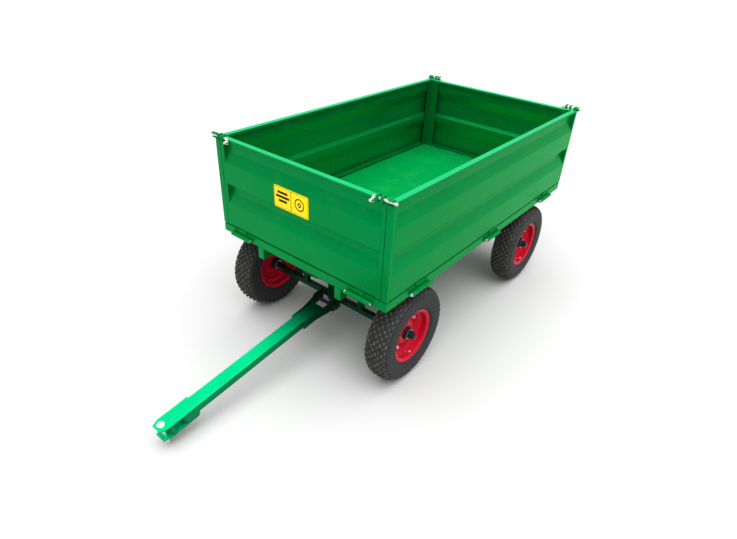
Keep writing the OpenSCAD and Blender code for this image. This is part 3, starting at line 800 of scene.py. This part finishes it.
def make_rim_bolts():
    first = make_rim_bolt()
    bolts = []
    for turn in range(RIM_BOLTS):
        spin = Matrix.Rotation(FULL_TURN * (turn + 0.5) / RIM_BOLTS, 4, "Y")
        bolts.append(copy_of(first, "rim_bolt_copy", spin))
    scrap(first)
    model = join(bolts, "rim_bolts_model")
    soften(model, 0.25 * mm, segments=2)
    return model


valve_foot = 4 * mm


def make_valve():
    """A plated stem with a cap, standing out of the well of the rim."""
    clear_bench()
    bpy.ops.mesh.primitive_cylinder_add(
        vertices=20, radius=5.5 * mm, depth=valve_foot, location=(0, 0, valve_foot / 2),
    )
    stem = bpy.context.object
    settle(stem)
    open_piece(stem)
    for radius_ratio, rise in ((0.62, 5), (0.95, 9), (1.25, 8)):
        pick(stem, "faces", top_face(stem))
        bpy.ops.transform.resize(value=(radius_ratio, radius_ratio, 1))
        push(0, 0, rise * mm)
    bpy.ops.transform.resize(value=(0.8, 0.8, 1))
    face_outwards()
    clear_bench()
    soften(stem, 0.4 * mm, segments=2)
    lean = Matrix.Rotation(math.radians(-128), 4, "X")
    foot = Matrix.Translation((0, 17 * mm, 97 * mm))
    stem.matrix_world = Matrix.Rotation(math.pi, 4, "Y") @ foot @ lean
    settle(stem)
    return stem


def top_face(piece):
    highest = max(vert.co.z for vert in bmesh.from_edit_mesh(piece.data).verts)
    return lambda face: all(abs(vert.co.z - highest) < 0.01 * mm for vert in face.verts)


def make_wheels():
    models = {
        "tyre": make_tyre(), "rim": make_rim(), "rim_bolts": make_rim_bolts(), "valve": make_valve(),
    }
    for corner in CORNERS:
        low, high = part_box(f"hub_{corner}")
        hand = 1 if corner.endswith("left") else -1
        centre = Matrix.Translation(((low.x + high.x) / 2, hand * wheel_plane, axle_height))
        turned = centre @ Matrix.Rotation(0 if hand > 0 else math.pi, 4, "Z")
        body = f"wheel_{corner}"
        tyre = copy_of(models["tyre"], f"tyre_{corner}_moulded", turned)
        give(tyre, body, "tyre_rubber", f"tyre_{corner}")
        rim = copy_of(models["rim"], f"rim_{corner}_pressed", turned)
        give(rim, body, "red_paint", f"rim_{corner}")
        bolts = copy_of(models["rim_bolts"], f"rim_bolts_{corner}", turned)
        give(bolts, body, "zinc_steel")
        valve = copy_of(models["valve"], f"valve_{corner}", turned)
        give(valve, body, "zinc_steel")
    scrap(*models.values())


# ---------------------------------------------------------------- the plain label

def make_label():
    node = "front_label"
    low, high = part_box(node)
    plate = cleaned_copy(node, "label_plate")
    open_piece(plate)
    pick(plate, "edges", lambda edge: is_short_corner(edge, high.x - low.x))
    bpy.ops.mesh.bevel(offset=6 * mm, segments=5, affect="EDGES")
    clear_bench()
    soften(plate, 0.15 * mm, segments=1)
    give(plate, body_of[node], slot_of[node], node)
    ink = make_label_ink(low, high)
    give(ink, body_of[node], slot_of[node], material="label_ink")


def is_short_corner(edge, thickness):
    across = edge.verts[0].co - edge.verts[1].co
    return abs(abs(across.x) - thickness) < 0.01 * mm and abs(across.y) + abs(across.z) < 0.01 * mm


def ink_ring(middle_y, middle_z, face_x, outer, inner):
    clear_bench()
    bpy.ops.mesh.primitive_circle_add(
        vertices=40, radius=outer, fill_type="NGON",
        location=(face_x, middle_y, middle_z), rotation=(0, QUARTER, 0),
    )
    ring = bpy.context.object
    settle(ring)
    open_piece(ring)
    bpy.ops.mesh.inset(thickness=outer - inner)
    bpy.ops.mesh.delete(type="FACE")
    clear_bench()
    return ring


def ink_box(low_y, high_y, low_z, high_z, face_x, line):
    """A printed frame: a plane inset and opened, or a solid bar where line is 0."""
    clear_bench()
    bpy.ops.mesh.primitive_plane_add(
        size=1, location=(face_x, (low_y + high_y) / 2, (low_z + high_z) / 2), rotation=(0, QUARTER, 0),
    )
    box = bpy.context.object
    box.scale = (high_z - low_z, high_y - low_y, 1)
    settle(box)
    open_piece(box)
    if line:
        bpy.ops.mesh.inset(thickness=line)
        bpy.ops.mesh.delete(type="FACE")
    clear_bench()
    return box


# the printed bars' heights above the middle and half widths, in millimetres
LABEL_BARS = ((20, 26), (4, 34), (-12, 22))
bar_half_height = 5 * mm
print_line = 1.6 * mm
print_side = 42 * mm


def make_label_ink(low, high):
    """Two printed frames, a ring round a smaller ring in one and three bars in the other."""
    face_x = high.x + 0.05 * mm
    edge = 3 * mm
    middle_y = (low.y + high.y) / 2
    middle_z = (low.z + high.z) / 2
    parts = [
        ink_box(low.y + edge, middle_y - 1 * mm, low.z + edge, high.z - edge, face_x, print_line),
        ink_box(middle_y + 1 * mm, high.y - edge, low.z + edge, high.z - edge, face_x, print_line),
        ink_ring(middle_y + print_side, middle_z, face_x, 24 * mm, 19 * mm),
        ink_ring(middle_y + print_side, middle_z, face_x, 9 * mm, 4 * mm),
    ]
    for rise, half_width in LABEL_BARS:
        low_y = middle_y - print_side - half_width * mm
        high_y = low_y + 2 * half_width * mm
        bar_z = middle_z + rise * mm
        parts.append(ink_box(low_y, high_y, bar_z - bar_half_height, bar_z + bar_half_height, face_x, 0))
    ink = join(parts, "label_print")
    apply_modifier(ink, "SOLIDIFY", thickness=0.1 * mm, offset=0)
    return ink


# ---------------------------------------------------------------- studio

def make_studio():
    clear_bench()
    bpy.ops.mesh.primitive_plane_add(size=60, location=(0, 0, 0))
    floor = bpy.context.object
    floor.name = "studio_floor"
    paper = Finish("studio_paper")
    floor.data.materials.append(paper.fill(Base_Color=shade(0.42, 0.42, 0.42), Roughness=0.9))
    world = bpy.data.worlds.new("studio_world")
    world.use_nodes = True
    sky = world.node_tree.nodes["Background"]
    sky.inputs["Color"].default_value = shade(1, 1, 1)
    sky.inputs["Strength"].default_value = 0.8
    bpy.context.scene.world = world
    overhead = bpy.data.lights.new("overhead_light", "SUN")
    overhead.energy = 5.6
    overhead.angle = math.radians(75)
    holder = bpy.data.objects.new("overhead_light", overhead)
    bpy.context.scene.collection.objects.link(holder)
    holder.rotation_euler = (math.radians(-8), math.radians(6), 0)
    add_softbox("softbox_left", (0.8, 3.6, 1.9), (0, 0, 0.5), 2.2, 4)
    add_softbox("softbox_front", (3.8, 0.8, 1.6), (0, 0, 0.5), 2.0, 4)


def add_softbox(name, spot, target, size, power):
    lamp = bpy.data.lights.new(name, "AREA")
    lamp.size = size
    lamp.energy = power
    holder = bpy.data.objects.new(name, lamp)
    bpy.context.scene.collection.objects.link(holder)
    holder.location = spot
    holder.rotation_euler = (Vector(target) - Vector(spot)).to_track_quat("-Z", "Y").to_euler()


def set_camera():
    lens = bpy.data.cameras.new("studio_camera")
    lens.sensor_width = 36
    lens.lens = 25.852
    camera = bpy.data.objects.new("studio_camera", lens)
    bpy.context.scene.collection.objects.link(camera)
    camera.rotation_mode = "QUATERNION"
    camera.location = (1.58091, 1.23986, 1.50156)
    camera.rotation_quaternion = (0.364638, 0.224747, 0.425996, 0.796903)
    bpy.context.scene.camera = camera
    bpy.context.scene.view_settings.view_transform = "Standard"


make_steelwork()
for side in SIDE_TURNS:
    make_side_sheet(side)
for corner in CORNERS:
    make_latch_bolt(corner)
make_wheels()
make_label()
make_studio()
set_camera()
